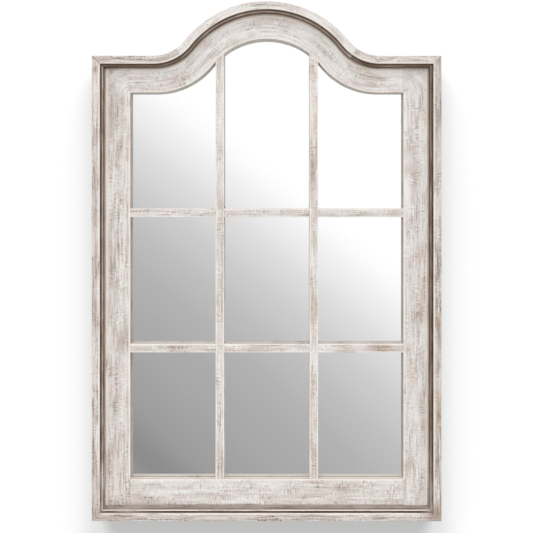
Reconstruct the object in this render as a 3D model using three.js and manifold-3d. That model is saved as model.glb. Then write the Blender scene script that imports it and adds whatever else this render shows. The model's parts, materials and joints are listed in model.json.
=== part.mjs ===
// Arched window mirror: a limed board frame with a window grid in front of one arched mirror sheet.
// Millimetres, +Z up, the front faces -Y. The wall plane is y = 0.
// The origin is on the wall plane, halfway between the two wall hooks that the hanger rings go over.
import * as THREE from "three";
import { mergeVertices } from "three/addons/utils/BufferGeometryUtils.js";
import Module from "manifold-3d";

const wasm = await Module();
wasm.setup();

// ---------------------------------------------------------------- driving dimensions

// Outline of the whole frame, at the outer edge of the band.
const overallWidth = 800;
const shoulderHeight = 1065; // foot to the straight shoulders
const crownRise = 125; // shoulders to the top of the crown
const crownRadius = 241; // convex arc of the crown
const shoulderRadius = 92; // concave arc that sweeps each shoulder up to the crown
const arcSegments = 12; // half the facets of each arc
const roundSteps = 2; // facets of an eased arris

// Band: the raised moulding round the outside. Depths are measured from the wall plane.
const bandDepth = 45;
const bandFace = 18; // flat front face
const bandArris = 1.6;
const quirkWidth = 3.6;
const quirkDepth = 6;
const beadWidth = 3.4;
const beadSetback = 3; // bead crown behind the band's face

// Board frame inside the band.
const boardSetback = 20; // board face behind the band's face
const boardThickness = 16;
const boardArris = 1.5;
const stileFace = 57;
const footFace = 60;
const headFace = 55;
const rebateWidth = 10;

// Window grid.
const muntinFace = 20;
const muntinArris = 1;
const paneHeight = 295; // each of the two lower rows
const tenonLength = 8;
const tenonWidth = 12;
const tenonThickness = 5;

// Sheet and backing. Laps are measured outwards from the sight edge.
const sheetThickness = 3;
const backingThickness = 3;
const backingLap = 22;
const backingScrewLap = 15.5;
const backingScrewMargin = 110; // end screws of a side, from the foot and the shoulders
const backingScrewFromBar = 55; // foot screws, outwards from a window bar

// Where the band's head is joined.
const bandJointAngle = 35; // degrees round the shoulder's concave arc

// Dowels.
const dowelRadius = 4;
const dowelLength = 32;
const dowelSpacing = 22;
const dowelChamfer = 1;

// Fixings: pan head screws for backing and hangers, and lost-head pins for the band.
const backingScrew = { shank: 1.5, length: 11, head: 3, headHeight: 1.8 };
const hangerScrew = { shank: 1.8, length: 13, head: 3.6, headHeight: 2.2 };
const pinRadius = 1;
const pinHeadRadius = 1.6;
const pinHeadLength = 1.2;
const pinLength = 44;
const pinSink = 0.4; // the heads are punched just under the surface
const pinSideMargin = 270; // side pins, from the foot and the shoulders
const pinFootMargin = 200; // foot pins, from the corners
const pinCrownAngle = 22; // crown pins, degrees from the middle
const pinSides = 8;

// Hangers: a strap with a rolled eye, and a D-shaped wire ring that swings in it.
const hookDrop = 150; // shoulders down to the wall hooks
const hangerInset = 17; // band's inner wall to the middle of the strap
const strapWidth = 14;
const strapLength = 48;
const strapThickness = 1.2;
const strapRollEnd = -80; // degrees round the eye at which the roll stops
const strapHoleDrops = [22, 38]; // eye axis down to the two screws
const ringWire = 1.5; // wire radius
const ringInnerWidth = 18;
const ringReach = 14; // bar axis to the inside of the bow
const ringBend = 2.6; // bend radius of the wire's axis at the bar's ends
const ringSteps = 40;
const eyeClearance = 0.3;

// Clearances.
const seatGap = 0.2; // between pieces that are glued or screwed face to face
const bandGap = 0.3; // between the band and the boards
const sheetPlay = 0.4; // between the sheet and the backing board
const sheetEdgeGap = 0.8;
const holeGap = 0.2; // round dowels, shanks and tenons
const overshoot = 2; // how far a cutting tool runs past the face that it enters

// ---------------------------------------------------------------- places worked out from them

const bandWidth = bandFace + quirkWidth + beadWidth;
const boardFront = bandDepth - boardSetback;
const boardBack = boardFront - boardThickness;
const boardMiddle = (boardFront + boardBack) / 2;
const lipBack = boardBack + sheetThickness + seatGap + sheetPlay;
const sheetFront = lipBack - seatGap;
const backingFront = boardBack - seatGap;
const backingBack = backingFront - backingThickness;

const crownCentreZ = shoulderHeight + crownRise - crownRadius;
const shoulderCentreZ = shoulderHeight + shoulderRadius;
const arcCentres = crownRadius + shoulderRadius;
const shoulderCentreX = Math.sqrt(arcCentres ** 2 - (shoulderCentreZ - crownCentreZ) ** 2);
const sweepAngle = Math.asin(shoulderCentreX / arcCentres);
const boardJointX = crownRadius * Math.sin(sweepAngle); // where the outline turns from convex to concave

const sightX = overallWidth / 2 - bandWidth - stileFace;
const sightFootZ = bandWidth + footFace;
const sightHeadInset = bandWidth + headFace;
const sightShoulderZ = shoulderHeight - sightHeadInset;
const paneWidth = (2 * sightX - 2 * muntinFace) / 3;
const muntinX = (paneWidth + muntinFace) / 2;
const lowerRowZ = sightFootZ + paneHeight + muntinFace / 2;
const upperRowZ = lowerRowZ + muntinFace + paneHeight;
const muntinThickness = boardFront - lipBack;
const muntinMiddle = (boardFront + lipBack) / 2;

const eyeRadius = ringWire + eyeClearance;
const pivotDepth = boardBack - seatGap - strapThickness - eyeRadius;
const hookHeight = shoulderHeight - hookDrop;
const pivotZ = hookHeight - ringReach;
const hangerX = overallWidth / 2 - bandWidth - hangerInset;

// ---------------------------------------------------------------- colours and finishes

const material = (color, roughness, metalness = 0) =>
  new THREE.MeshStandardMaterial({ color, roughness, metalness });
const limedBand = material("#d3cbc4", 0.75);
const limedBoard = material("#dcd5cf", 0.75);
const limedBar = material("#e2dcd7", 0.72);
const silvered = material("#d9dcde", 0.03, 1);
const hardboard = material("#7d6047", 0.85);
const beech = material("#c9a877", 0.7);
const zinc = material("#b9bcc0", 0.35, 1);
const steel = material("#8f8f8c", 0.45, 1);

// ---------------------------------------------------------------- solids from geometries, and back

function solidFrom(geometry) {
  const bare = geometry.clone();
  bare.deleteAttribute("normal");
  bare.deleteAttribute("uv");
  const merged = mergeVertices(bare, 1e-4);
  const vertProperties = new Float32Array(merged.attributes.position.array);
  const triVerts = new Uint32Array(merged.index.array);
  return new wasm.Manifold(new wasm.Mesh({ numProp: 3, vertProperties, triVerts }));
}

function geometryFrom(solid) {
  const { vertProperties, triVerts } = solid.getMesh();
  const geometry = new THREE.BufferGeometry();
  geometry.setAttribute("position", new THREE.BufferAttribute(vertProperties, 3));
  geometry.setIndex(new THREE.BufferAttribute(triVerts, 1));
  return geometry;
}

// A block given by its lowest and highest corners: x, depth from the wall, z.
function block([x0, depth0, z0], [x1, depth1, z1]) {
  const geometry = new THREE.BoxGeometry(x1 - x0, depth1 - depth0, z1 - z0);
  geometry.translate((x0 + x1) / 2, -(depth0 + depth1) / 2, (z0 + z1) / 2);
  return solidFrom(geometry);
}

// A round bar or hole along a direction, from a point.
function rod(radius, length, from, direction, sides = 12) {
  const geometry = new THREE.CylinderGeometry(radius, radius, length, sides);
  geometry.translate(0, length / 2, 0);
  const turn = new THREE.Quaternion().setFromUnitVectors(new THREE.Vector3(0, 1, 0), direction);
  geometry.applyQuaternion(turn);
  geometry.translate(from.x, from.y, from.z);
  return solidFrom(geometry);
}

// A turned piece whose profile is [radius, distance] pairs along its axis, laid along +Y.
function turned(profile, sides = 12) {
  return new THREE.LatheGeometry(profile.map(([r, y]) => new THREE.Vector2(r, y)), sides);
}

// ---------------------------------------------------------------- the arched outline

// The frame's outline in x and z, moved inwards by an inset at the sides, foot and head.
function archedOutline({ side, foot, head }) {
  const halfWidth = overallWidth / 2 - side;
  const shoulderZ = shoulderHeight - head;
  const down = -Math.PI / 2;
  const up = Math.PI / 2;
  const outline = new THREE.Shape();
  outline.moveTo(-halfWidth, foot);
  outline.lineTo(halfWidth, foot);
  outline.lineTo(halfWidth, shoulderZ);
  outline.absarc(shoulderCentreX, shoulderCentreZ, shoulderRadius + head, down, down - sweepAngle, true);
  outline.absarc(0, crownCentreZ, crownRadius - head, up - sweepAngle, up + sweepAngle, false);
  outline.absarc(-shoulderCentreX, shoulderCentreZ, shoulderRadius + head, down + sweepAngle, down, true);
  outline.lineTo(-halfWidth, shoulderZ);
  outline.closePath();
  return outline;
}

const insetAll = (inset) => ({ side: inset, foot: inset, head: inset });

// An inset measured outwards from the sight edge, where the boards end and the sheet shows.
const fromSight = (outwards) => ({
  side: bandWidth + stileFace - outwards,
  foot: bandWidth + footFace - outwards,
  head: bandWidth + headFace - outwards,
});

// A flat panel with the arched outline, between two depths.
function archedPanel(inset, depthBack, depthFront) {
  const geometry = new THREE.ExtrudeGeometry(archedOutline(inset), {
    depth: depthFront - depthBack,
    bevelEnabled: false,
    curveSegments: arcSegments,
  });
  geometry.rotateX(Math.PI / 2);
  geometry.translate(0, -depthBack, 0);
  return geometry;
}

// A closed moulding that runs all round the outline. Each point of its section is an inset and a depth.
function mouldedRing(section) {
  const rows = section.map(({ inset, depth }) => {
    const points = archedOutline(inset).getPoints(arcSegments);
    const distinct = points.filter((p, i) => i === 0 || p.distanceTo(points[i - 1]) > 1e-3);
    if (distinct[0].distanceTo(distinct.at(-1)) < 1e-3) distinct.pop();
    return distinct.map((p) => [p.x, -depth, p.y]);
  });
  const columns = rows[0].length;
  const index = [];
  rows.forEach((_, r) => {
    const next = (r + 1) % rows.length;
    for (let c = 0; c < columns; c++) {
      const beside = (c + 1) % columns;
      const [a, b] = [r * columns + c, r * columns + beside];
      const [d, e] = [next * columns + c, next * columns + beside];
      index.push(a, b, e, a, e, d);
    }
  });
  const geometry = new THREE.BufferGeometry();
  geometry.setAttribute("position", new THREE.Float32BufferAttribute(rows.flat(2), 3));
  geometry.setIndex(index);
  return solidFrom(geometry);
}

// Points of a quarter or half round in a section, as [inwards, depth] pairs.
function round(centreIn, centreDepth, radius, fromDegrees, toDegrees, steps) {
  return Array.from({ length: steps + 1 }, (_, i) => {
    const angle = THREE.MathUtils.degToRad(fromDegrees + ((toDegrees - fromDegrees) * i) / steps);
    return [centreIn + radius * Math.cos(angle), centreDepth + radius * Math.sin(angle)];
  });
}

// ---------------------------------------------------------------- cutting the rings into lengths

// Keeps what lies on the side of a plane that the normal (x, z) points to, past an extra gap.
function keepSide(solid, normal, point, gap) {
  const [nx, nz] = new THREE.Vector2(...normal).normalize().toArray();
  return solid.trimByPlane([nx, 0, nz], nx * point[0] + nz * point[1] + gap);
}

function bandSection() {
  const beadRadius = beadWidth / 2;
  const beadCentre = bandWidth - beadRadius;
  const beadDepth = bandDepth - beadSetback - beadRadius;
  const points = [
    [0, 0],
    ...round(bandArris, bandDepth - bandArris, bandArris, 180, 90, roundSteps),
    ...round(bandFace - bandArris, bandDepth - bandArris, bandArris, 90, 0, roundSteps),
    [bandFace, bandDepth - quirkDepth],
    [bandFace + quirkWidth, bandDepth - quirkDepth],
    ...round(beadCentre, beadDepth, beadRadius, 180, 0, 2 * roundSteps + 1).slice(1),
    [bandWidth, 0],
  ];
  return points.map(([inwards, depth]) => ({ inset: insetAll(inwards), depth }));
}

function boardSection() {
  const arrisDepth = boardFront - boardArris;
  const outer = round(bandWidth + bandGap + boardArris, arrisDepth, boardArris, 180, 90, roundSteps);
  const inner = round(-boardArris, arrisDepth, boardArris, 90, 0, roundSteps);
  return [
    { inset: insetAll(bandWidth + bandGap), depth: boardBack },
    ...outer.map(([inwards, depth]) => ({ inset: insetAll(inwards), depth })),
    ...inner.map(([inwards, depth]) => ({ inset: fromSight(-inwards), depth })),
    { inset: fromSight(0), depth: lipBack },
    { inset: fromSight(rebateWidth), depth: lipBack },
    { inset: fromSight(rebateWidth), depth: boardBack },
  ];
}

// The band's six lengths: mitred at the corners, square-cut across the curve at the crown's two ends.
function bandLengths() {
  const ring = mouldedRing(bandSection());
  const half = overallWidth / 2;
  const cut = (solid, normal, point) => keepSide(solid, normal, point, seatGap / 2);
  const joint = THREE.MathUtils.degToRad(bandJointAngle);
  const lengths = {};
  for (const [hand, s] of [["left", -1], ["right", 1]]) {
    const top = [s * half, shoulderHeight];
    const foot = [s * half, 0];
    const centre = [s * shoulderCentreX, shoulderCentreZ];
    const outwards = [s * Math.cos(joint), -Math.sin(joint)];
    lengths["band_" + hand] = cut(cut(ring, [s, -1], top), [s, 1], foot);
    lengths["band_shoulder_" + hand] = cut(cut(ring, [-s, 1], top), outwards, centre);
  }
  lengths.band_foot = cut(cut(ring, [1, -1], [-half, 0]), [-1, -1], [half, 0]);
  lengths.band_crown = [-1, 1].reduce(
    (solid, s) =>
      cut(solid, [-s * Math.cos(joint), Math.sin(joint)], [s * shoulderCentreX, shoulderCentreZ]),
    ring,
  );
  return lengths;
}

// The board frame's six boards: the stiles run through, and the rails stand between them.
function boards() {
  const ring = mouldedRing(boardSection());
  const middleZ = shoulderHeight / 2;
  const cut = (solid, normal, x) => keepSide(solid, normal, [x, 0], seatGap / 2);
  const between = cut(cut(ring, [1, 0], -sightX), [-1, 0], sightX);
  const head = keepSide(between, [0, 1], [0, middleZ], 0);
  return {
    stile_left: cut(ring, [-1, 0], -sightX),
    stile_right: cut(ring, [1, 0], sightX),
    foot_rail: keepSide(between, [0, -1], [0, middleZ], 0),
    shoulder_rail_left: cut(head, [-1, 0], -boardJointX),
    shoulder_rail_right: cut(head, [1, 0], boardJointX),
    crown_rail: cut(cut(head, [1, 0], -boardJointX), [-1, 0], boardJointX),
  };
}

// ---------------------------------------------------------------- window grid

// A straight bar along z with eased front arrises, centred on x = 0.
function barAlongZ(z0, z1) {
  const edge = muntinFace / 2;
  const front = muntinThickness / 2;
  const section = new THREE.Shape();
  section.moveTo(-edge, -front);
  section.lineTo(edge, -front);
  section.absarc(edge - muntinArris, front - muntinArris, muntinArris, 0, Math.PI / 2, false);
  section.absarc(-edge + muntinArris, front - muntinArris, muntinArris, Math.PI / 2, Math.PI, false);
  section.closePath();
  const geometry = new THREE.ExtrudeGeometry(section, {
    depth: z1 - z0,
    bevelEnabled: false,
    curveSegments: 1,
  });
  geometry.rotateZ(Math.PI); // the eased side turns to the front, -Y
  geometry.translate(0, -muntinMiddle, z0);
  return geometry;
}

// Tenons stand past the sight edge at both ends of a bar. Their mortises are the same, a little larger.
function tenonBlock(centre, along, [from, to], gap) {
  const across = tenonWidth / 2 + gap;
  const back = muntinMiddle - tenonThickness / 2 - gap;
  const front = muntinMiddle + tenonThickness / 2 + gap;
  const [low, high] = [from - gap, to + gap];
  return along === "z"
    ? block([centre - across, back, low], [centre + across, front, high])
    : block([low, back, centre - across], [high, front, centre + across]);
}

const columns = { left: -muntinX, right: muntinX };
const rows = { upper: upperRowZ, lower: lowerRowZ };
const sightArcZ = (x) => crownCentreZ + Math.sqrt((crownRadius - sightHeadInset) ** 2 - x ** 2);
const columnTenon = [sightFootZ - tenonLength, sightArcZ(muntinX) + tenonLength];
const rowTenon = [-sightX - tenonLength, sightX + tenonLength];

// The bars are cross-halved: the upright ones keep their front half, the level ones their back half.
function windowGrid() {
  const opening = solidFrom(archedPanel(fromSight(-seatGap), lipBack, boardFront));
  const across = (muntinFace + seatGap) / 2;
  const bars = {};
  for (const [hand, x] of Object.entries(columns)) {
    const bar = barAlongZ(0, crownCentreZ + crownRadius);
    bar.translate(x, 0, 0);
    let solid = solidFrom(bar).intersect(opening);
    solid = solid.add(tenonBlock(x, "z", columnTenon, 0));
    for (const z of Object.values(rows)) {
      const low = [x - muntinFace, lipBack - overshoot, z - across];
      const high = [x + muntinFace, muntinMiddle + seatGap / 2, z + across];
      solid = solid.subtract(block(low, high));
    }
    bars["muntin_vertical_" + hand] = solid;
  }
  for (const [level, z] of Object.entries(rows)) {
    const bar = barAlongZ(-overallWidth / 2, overallWidth / 2);
    bar.rotateY(Math.PI / 2);
    bar.translate(0, 0, z);
    let solid = solidFrom(bar).intersect(opening);
    solid = solid.add(tenonBlock(z, "x", rowTenon, 0));
    for (const x of Object.values(columns)) {
      const low = [x - across, muntinMiddle - seatGap / 2, z - muntinFace];
      const high = [x + across, boardFront + overshoot, z + muntinFace];
      solid = solid.subtract(block(low, high));
    }
    bars["muntin_horizontal_" + level] = solid;
  }
  return bars;
}

// ---------------------------------------------------------------- dowels, screws and pins: where they go

// Two dowels across each upright board joint, at the joint's x and about a middle height.
function dowelPlaces() {
  const places = [];
  const footMiddleZ = (bandWidth + bandGap + sightFootZ - rebateWidth) / 2;
  const shoulderMiddleZ = (shoulderHeight - bandWidth - bandGap + sightShoulderZ) / 2;
  const crownJointZ = (jointEdgeZ(headFace) + jointEdgeZ(0)) / 2;
  for (const [hand, s] of [["left", -1], ["right", 1]]) {
    for (const [joint, x, z] of [
      ["foot", sightX, footMiddleZ],
      ["shoulder", sightX, shoulderMiddleZ],
      ["crown", boardJointX, crownJointZ],
    ]) {
      places.push({ name: `dowel_${joint}_${hand}_lower`, x: s * x, z: z - dowelSpacing / 2 });
      places.push({ name: `dowel_${joint}_${hand}_upper`, x: s * x, z: z + dowelSpacing / 2 });
    }
  }
  return places;
}

// Height of the head rail's edge on the concave arc, at the crown joint, a distance in from the band.
function jointEdgeZ(inwards) {
  const radius = shoulderRadius + bandWidth + inwards;
  return shoulderCentreZ - Math.sqrt(radius ** 2 - (shoulderCentreX - boardJointX) ** 2);
}

// Height of the head's sight edge on the concave arc and on the level stretch beside it.
function shoulderSightZ(x) {
  const aside = Math.max(0, shoulderCentreX - x);
  return shoulderCentreZ - Math.sqrt((shoulderRadius + sightHeadInset) ** 2 - aside ** 2);
}

// Screws of the backing board: x and z of each. A shoulder screw is midway between its rail's two joints.
function backingScrewPlaces() {
  const sideX = sightX + backingScrewLap;
  const lowestZ = sightFootZ + backingScrewMargin;
  const highestZ = sightShoulderZ - backingScrewMargin;
  const shoulderX = (boardJointX + sightX) / 2;
  const places = [];
  for (const s of [-1, 1]) {
    for (const z of [lowestZ, (lowestZ + highestZ) / 2, highestZ]) {
      places.push([s * sideX, z]);
    }
    places.push([s * (muntinX + backingScrewFromBar), sightFootZ - backingScrewLap]);
    places.push([s * shoulderX, shoulderSightZ(shoulderX) + backingScrewLap]);
  }
  places.push([0, sightArcZ(0) + backingScrewLap]);
  return places;
}

// Screws of the two hangers.
function hangerScrewPlaces() {
  const places = [];
  for (const [hand, s] of [["left", -1], ["right", 1]]) {
    strapHoleDrops.forEach((drop, i) => {
      const level = ["upper", "lower"][i];
      places.push({ name: `hanger_screw_${hand}_${level}`, x: s * hangerX, z: pivotZ - drop });
    });
  }
  return places;
}

// Pins of the band: where each head lies, and the direction in which the pin is driven.
function pinPlaces() {
  const half = overallWidth / 2;
  const lean = THREE.MathUtils.degToRad(pinCrownAngle);
  const places = [];
  for (const s of [-1, 1]) {
    const [sine, cosine] = [s * Math.sin(lean), Math.cos(lean)];
    places.push([[s * half, pinSideMargin], [-s, 0]]);
    places.push([[s * half, shoulderHeight - pinSideMargin], [-s, 0]]);
    places.push([[s * (half - pinFootMargin), 0], [0, 1]]);
    places.push([[s * (sightX + stileFace / 2), shoulderHeight], [0, -1]]);
    places.push([[crownRadius * sine, crownCentreZ + crownRadius * cosine], [-sine, -cosine]]);
  }
  return places.map(([[x, z], [dx, dz]]) => ({
    start: new THREE.Vector3(x + dx * pinSink, -boardMiddle, z + dz * pinSink),
    direction: new THREE.Vector3(dx, 0, dz),
  }));
}

// ---------------------------------------------------------------- drilling and mortising

const intoFront = new THREE.Vector3(0, -1, 0);
const alongX = new THREE.Vector3(1, 0, 0);

// Cuts a tool out of every piece whose name matches.
function cutFrom(pieces, names, tool) {
  for (const name of Object.keys(pieces).filter((each) => names.test(each))) {
    pieces[name] = pieces[name].subtract(tool);
  }
}

function drillAndMortise(pieces) {
  const everyBoard = /^(stile|foot_rail|shoulder_rail|crown_rail)/;
  const reach = dowelLength / 2 + holeGap;
  for (const { x, z } of dowelPlaces()) {
    const from = new THREE.Vector3(x - reach, -boardMiddle, z);
    cutFrom(pieces, everyBoard, rod(dowelRadius + holeGap, 2 * reach, from, alongX));
  }
  for (const [x, z] of backingScrewPlaces()) {
    const from = new THREE.Vector3(x, -(backingBack - overshoot), z);
    const hole = rod(backingScrew.shank + holeGap, backingScrew.length + overshoot, from, intoFront);
    cutFrom(pieces, everyBoard, hole);
    cutFrom(pieces, /^backing/, hole);
  }
  for (const { x, z } of hangerScrewPlaces()) {
    const from = new THREE.Vector3(x, -(boardBack - overshoot), z);
    const hole = rod(hangerScrew.shank + holeGap, hangerScrew.length + overshoot, from, intoFront);
    cutFrom(pieces, /^stile/, hole);
  }
  for (const { start, direction } of pinPlaces()) {
    const entry = pinSink + overshoot;
    const from = start.clone().addScaledVector(direction, -entry);
    const hole = rod(pinRadius + holeGap, pinLength + entry + holeGap, from, direction, pinSides);
    const sunk = rod(pinHeadRadius + holeGap, pinHeadLength + entry + holeGap, from, direction, pinSides);
    cutFrom(pieces, /^band/, hole.add(sunk));
    cutFrom(pieces, everyBoard, hole);
  }
  for (const x of Object.values(columns)) {
    cutFrom(pieces, /^(foot|crown)_rail/, tenonBlock(x, "z", columnTenon, holeGap));
  }
  for (const z of Object.values(rows)) {
    cutFrom(pieces, /^stile/, tenonBlock(z, "x", rowTenon, holeGap));
  }
  return pieces;
}

// ---------------------------------------------------------------- turned fixings

function dowelGeometry() {
  const half = dowelLength / 2;
  return turned([
    [0, -half],
    [dowelRadius - dowelChamfer, -half],
    [dowelRadius, -half + dowelChamfer],
    [dowelRadius, half - dowelChamfer],
    [dowelRadius - dowelChamfer, half],
    [0, half],
  ]).rotateZ(Math.PI / 2);
}

// A pan head screw along +Y, its head's underside at y = 0 and its shank running to +Y.
function screwGeometry({ shank, length, head, headHeight }) {
  const dome = round(0, 0, 1, 270, 360, 3).map(([r, y]) => [r * head, y * headHeight]);
  return turned([...dome, [shank, 0], [shank, length - 2 * shank], [0, length]]);
}

// A lost-head pin along +Y, its head at y = 0.
function pinGeometry() {
  return turned(
    [
      [0, 0],
      [pinHeadRadius, 0],
      [pinHeadRadius, pinHeadLength],
      [pinRadius, pinHeadLength],
      [pinRadius, pinLength - 2 * pinRadius],
      [0, pinLength],
    ],
    pinSides,
  );
}

// ---------------------------------------------------------------- hangers

// The strap, seen from its side: a plate that lies on the stile and rolls round the ring's bar.
// Its eye is on the axis y = 0, z = 0, and the stile is on the -Y side.
function strapGeometry() {
  const outer = eyeRadius + strapThickness;
  const rollEnd = THREE.MathUtils.degToRad(strapRollEnd);
  const side = new THREE.Shape();
  side.moveTo(-eyeRadius, -strapLength);
  side.lineTo(-outer, -strapLength);
  side.absarc(0, 0, outer, Math.PI, rollEnd, true);
  side.absarc(0, 0, eyeRadius, rollEnd, Math.PI, false);
  side.closePath();
  const plate = new THREE.ExtrudeGeometry(side, {
    depth: strapWidth,
    bevelEnabled: false,
    curveSegments: 8,
  });
  const [x, y, z] = [0, 1, 2].map((axis) => new THREE.Vector3().setComponent(axis, 1));
  plate.applyMatrix4(new THREE.Matrix4().makeBasis(y, z, x));
  plate.translate(-strapWidth / 2, 0, 0);
  let solid = solidFrom(plate).intersect(solidFrom(strapOutline(2 * outer)));
  for (const drop of strapHoleDrops) {
    const from = new THREE.Vector3(0, 2 * outer, -drop);
    solid = solid.subtract(rod(hangerScrew.shank + holeGap, 4 * outer, from, intoFront));
  }
  return geometryFrom(solid);
}

// The strap's face with its round lower end, reaching past the strap by a margin on every other side.
function strapOutline(margin) {
  const endRadius = strapWidth / 2;
  const face = new THREE.Shape();
  face.moveTo(-endRadius, margin);
  face.absarc(0, -strapLength + endRadius, endRadius, Math.PI, 2 * Math.PI, false);
  face.lineTo(endRadius, margin);
  face.closePath();
  const geometry = new THREE.ExtrudeGeometry(face, {
    depth: 2 * margin,
    bevelEnabled: false,
    curveSegments: 6,
  });
  geometry.rotateX(Math.PI / 2);
  geometry.translate(0, margin, 0);
  return geometry;
}

// A curve in the plane of the ring, from a flat path.
class RingCurve extends THREE.Curve {
  constructor(path) {
    super();
    this.path = path;
  }

  getPoint(t, target = new THREE.Vector3()) {
    const { x, y } = this.path.getPoint(t);
    return target.set(x, 0, y);
  }
}

// The wire starts and ends in the middle of its bar, where the eye hides the butt joint.
function ringGeometry() {
  const halfWidth = ringInnerWidth / 2 + ringWire;
  const bow = ringReach + ringWire;
  const sideEnd = -(bow - halfWidth);
  const path = new THREE.Path();
  path.moveTo(seatGap, 0);
  path.lineTo(halfWidth - ringBend, 0);
  path.absarc(halfWidth - ringBend, -ringBend, ringBend, Math.PI / 2, 0, true);
  path.lineTo(halfWidth, sideEnd);
  path.absarc(0, sideEnd, halfWidth, 0, -Math.PI, true);
  path.lineTo(-halfWidth, -ringBend);
  path.absarc(-halfWidth + ringBend, -ringBend, ringBend, Math.PI, Math.PI / 2, true);
  path.lineTo(-seatGap, 0);
  const wire = new THREE.Shape().absarc(0, 0, ringWire, 0, 2 * Math.PI, false);
  return new THREE.ExtrudeGeometry(wire, {
    extrudePath: new RingCurve(path),
    steps: ringSteps,
    curveSegments: 4,
    bevelEnabled: false,
  });
}

// ---------------------------------------------------------------- assembly

const fromFoot = new THREE.Group(); // built from the foot up, then hung on the hook line
fromFoot.position.z = -hookHeight;

function add(name, geometry, finish, place) {
  const mesh = new THREE.Mesh(geometry, finish);
  mesh.name = name;
  if (place) mesh.position.copy(place);
  fromFoot.add(mesh);
  return mesh;
}

const number = (i) => String(i + 1).padStart(2, "0");
const finishes = { band: limedBand, muntin: limedBar, backing: hardboard };
const finishOf = (name) => finishes[name.split("_")[0]] ?? limedBoard;

const backing = solidFrom(archedPanel(fromSight(backingLap), backingBack, backingFront));
const joinery = drillAndMortise({ ...bandLengths(), ...boards(), backing_board: backing });
for (const [name, solid] of Object.entries({ ...joinery, ...windowGrid() })) {
  add(name, geometryFrom(solid), finishOf(name));
}
const sheet = archedPanel(fromSight(rebateWidth - sheetEdgeGap), sheetFront - sheetThickness, sheetFront);
add("mirror_sheet", sheet, silvered);

for (const { name, x, z } of dowelPlaces()) {
  add(name, dowelGeometry(), beech, new THREE.Vector3(x, -boardMiddle, z));
}
backingScrewPlaces().forEach(([x, z], i) => {
  const place = new THREE.Vector3(x, -(backingBack - seatGap), z);
  const screw = add("backing_screw_" + number(i), screwGeometry(backingScrew), zinc, place);
  screw.rotation.x = Math.PI;
});
hangerScrewPlaces().forEach(({ name, x, z }) => {
  const place = new THREE.Vector3(x, -(boardBack - 2 * seatGap - strapThickness), z);
  const screw = add(name, screwGeometry(hangerScrew), zinc, place);
  screw.rotation.x = Math.PI;
});
pinPlaces().forEach(({ start, direction }, i) => {
  const pin = add("band_pin_" + number(i), pinGeometry(), steel, start);
  pin.quaternion.setFromUnitVectors(new THREE.Vector3(0, 1, 0), direction);
});
for (const [hand, s] of [["left", -1], ["right", 1]]) {
  const pivot = new THREE.Vector3(s * hangerX, -pivotDepth, pivotZ);
  add("hanger_strap_" + hand, strapGeometry(), zinc, pivot);
  add("hanger_ring_" + hand, ringGeometry(), zinc, pivot);
}

const mirror = new THREE.Group();
mirror.add(fromFoot);
export default mirror;
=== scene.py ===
# %% [markdown]
# # An arched window mirror in limed wood
#
# The mirror hangs on a wall. A raised band goes round the outside, a flat board frame lies inside it,
# and four thin bars stand in front of one arched sheet of silvered glass, like the bars of a window.
# The measured model is loaded first and stays fixed. It holds sizes, joints and places, and everything
# below gives it its looks: worn edges, brushed wash, stained grooves, polished silver and zinc.

from math import asin, atan2, ceil, cos, hypot, pi, radians, sin, sqrt

import bmesh
import bpy
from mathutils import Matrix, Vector, noise
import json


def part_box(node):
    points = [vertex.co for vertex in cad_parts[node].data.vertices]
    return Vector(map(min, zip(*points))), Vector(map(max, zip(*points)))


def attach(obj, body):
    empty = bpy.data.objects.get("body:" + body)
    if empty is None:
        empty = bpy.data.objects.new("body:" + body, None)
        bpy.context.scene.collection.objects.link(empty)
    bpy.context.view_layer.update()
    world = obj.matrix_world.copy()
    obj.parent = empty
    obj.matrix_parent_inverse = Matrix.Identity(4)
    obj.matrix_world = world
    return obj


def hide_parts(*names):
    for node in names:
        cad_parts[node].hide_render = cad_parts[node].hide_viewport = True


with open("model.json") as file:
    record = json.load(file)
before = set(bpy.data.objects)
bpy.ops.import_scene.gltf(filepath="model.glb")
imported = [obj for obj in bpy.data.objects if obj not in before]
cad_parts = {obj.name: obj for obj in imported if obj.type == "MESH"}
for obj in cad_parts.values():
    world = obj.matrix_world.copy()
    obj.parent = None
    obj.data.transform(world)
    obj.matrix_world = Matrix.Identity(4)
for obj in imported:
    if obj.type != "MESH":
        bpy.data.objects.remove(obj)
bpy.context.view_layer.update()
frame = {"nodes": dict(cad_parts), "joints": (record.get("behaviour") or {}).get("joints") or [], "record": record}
mm = 0.001

# %% [markdown]
# ## Sizes
#
# Widths and depths are read from the boxes of the loaded model. The arcs of the head can't be, so
# they are named here in millimetres, as a joiner would write them on the template: a convex crown
# between two concave shoulders.

# %% Sizes from the model and from the joiner's template
half_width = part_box("band_right")[1].x
low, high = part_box("band_foot")
foot_z = low.z
band_depth, band_width = -low.y, high.z - low.z
shoulder_z = foot_z + 1065 * mm  # the level edges of the head
low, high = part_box("stile_left")
board_front, board_back = -low.y, -high.y
board_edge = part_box("foot_rail")[0].z - foot_z

crown_radius = 241 * mm
shoulder_radius = 92 * mm
crown_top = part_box("band_crown")[1].z
crown_centre_z = crown_top - crown_radius
shoulder_centre_z = shoulder_z + shoulder_radius
arc_centres = crown_radius + shoulder_radius
shoulder_centre_x = sqrt(arc_centres**2 - (shoulder_centre_z - crown_centre_z) ** 2)
sweep = asin(shoulder_centre_x / arc_centres)
board_joint_x = crown_radius * sin(sweep)
band_joint_angle = radians(35)

stile_face = 57 * mm
foot_face = 60 * mm
head_face = 55 * mm
sight_x = half_width - band_width - stile_face
sight_foot_z = foot_z + band_width + foot_face
sight_shoulder_z = shoulder_z - band_width - head_face
rebate_width = 10 * mm

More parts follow.
